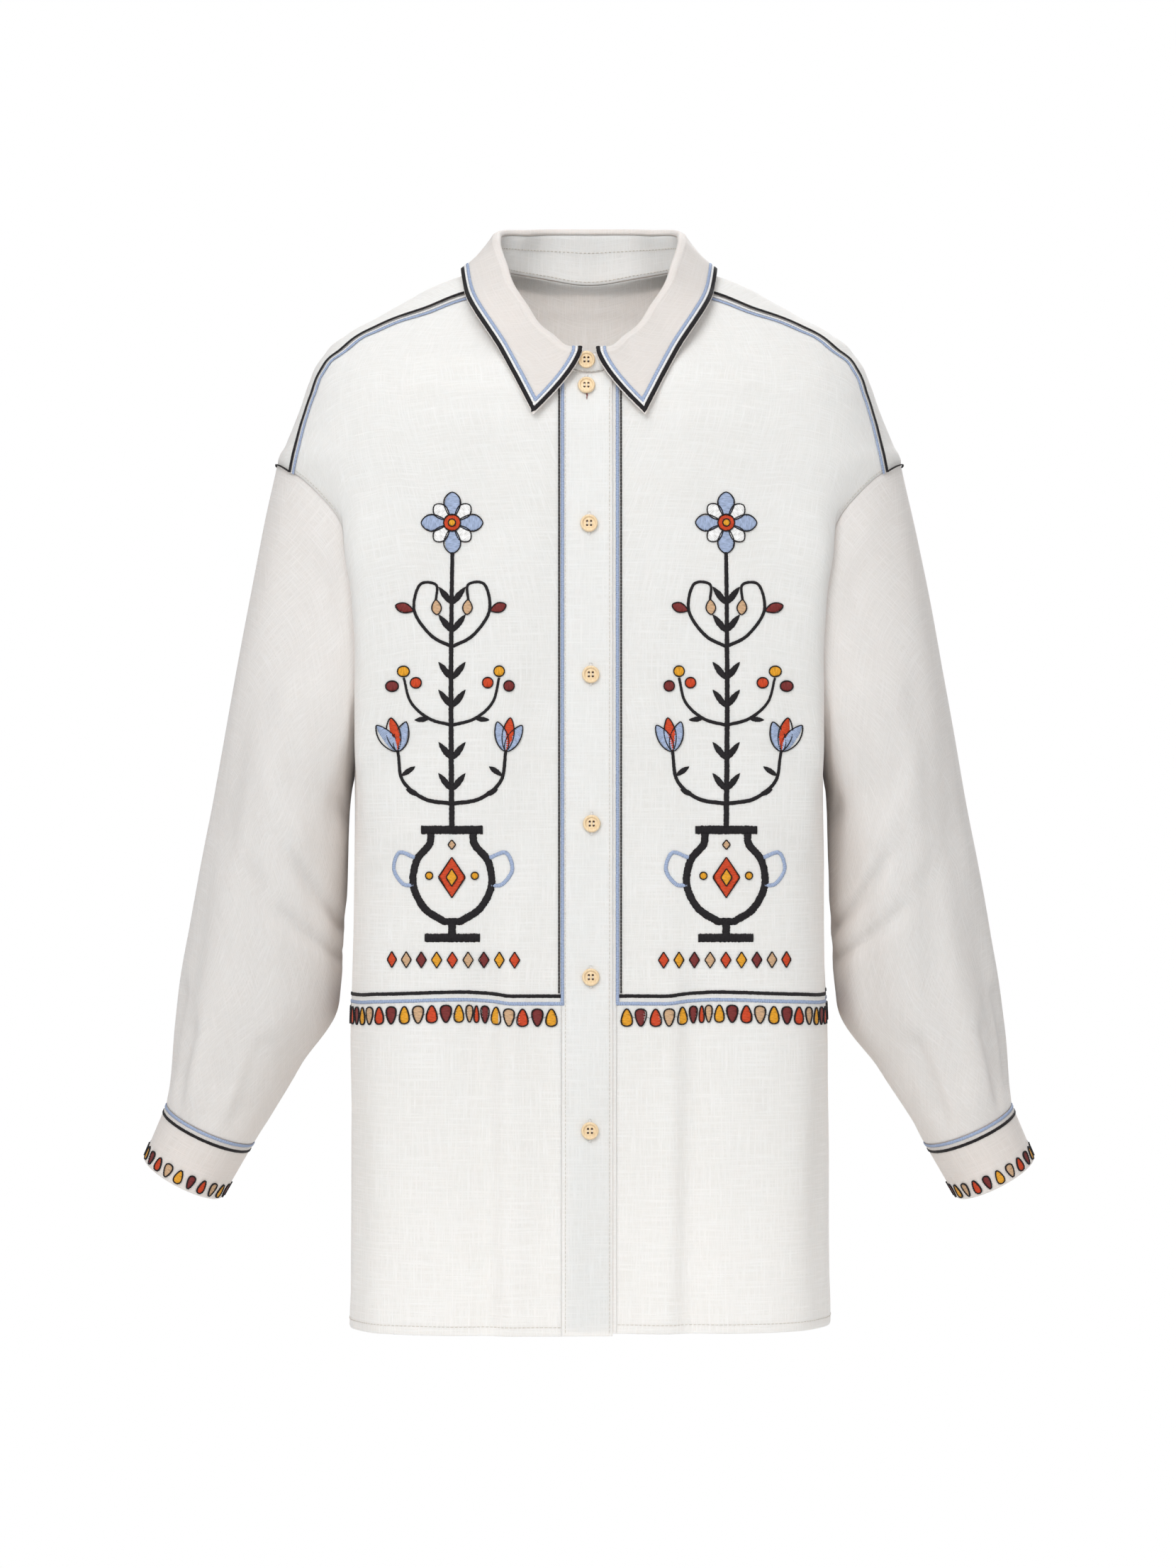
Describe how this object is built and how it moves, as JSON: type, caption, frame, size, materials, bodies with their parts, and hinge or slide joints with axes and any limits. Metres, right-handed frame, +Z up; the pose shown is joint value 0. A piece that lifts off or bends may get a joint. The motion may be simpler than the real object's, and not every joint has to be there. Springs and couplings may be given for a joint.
{
  "type": "embroidered blouse",
  "caption": "Hollow worn-form linen blouse with collar, dropped shoulders, long cuffed sleeves, button front and embroidered borders.",
  "frame": {"origin": "middle of the neck, level with the shoulders that carry the blouse", "axes": "+Z up, -Y towards the front, +X towards the wearer's left"},
  "size_m": [0.6288, 0.2268, 0.776],
  "materials": {
    "linen": "slubby plain-weave linen, undyed white, matt",
    "linen_double": "the same linen, doubled, matt",
    "button_cream": "cream four-hole button, soft gloss",
    "thread_black": "black embroidery thread, satin stitch",
    "thread_blue": "blue-grey embroidery thread, satin stitch",
    "thread_white": "white embroidery thread, satin stitch",
    "thread_mustard": "mustard embroidery thread, satin stitch",
    "thread_maroon": "maroon embroidery thread, satin stitch",
    "thread_red": "orange-red embroidery thread, satin stitch",
    "thread_tan": "tan embroidery thread, satin stitch"
  },
  "bodies": {
    "root": {"front_right": "linen", "front_left": "linen", "back": "linen", "yoke": "linen", "buttonhole_band": "linen_double", "button_band": "linen_double", "collar_stand": "linen_double", "collar_fall": "linen_double", "sleeve_left": "linen", "sleeve_right": "linen", "cuff_left": "linen_double", "cuff_right": "linen_double", "button_stand": "button_cream", "button_1": "button_cream", "button_2": "button_cream", "button_3": "button_cream", "button_4": "button_cream", "button_5": "button_cream", "button_6": "button_cream"}
  },
  "joints": []
}
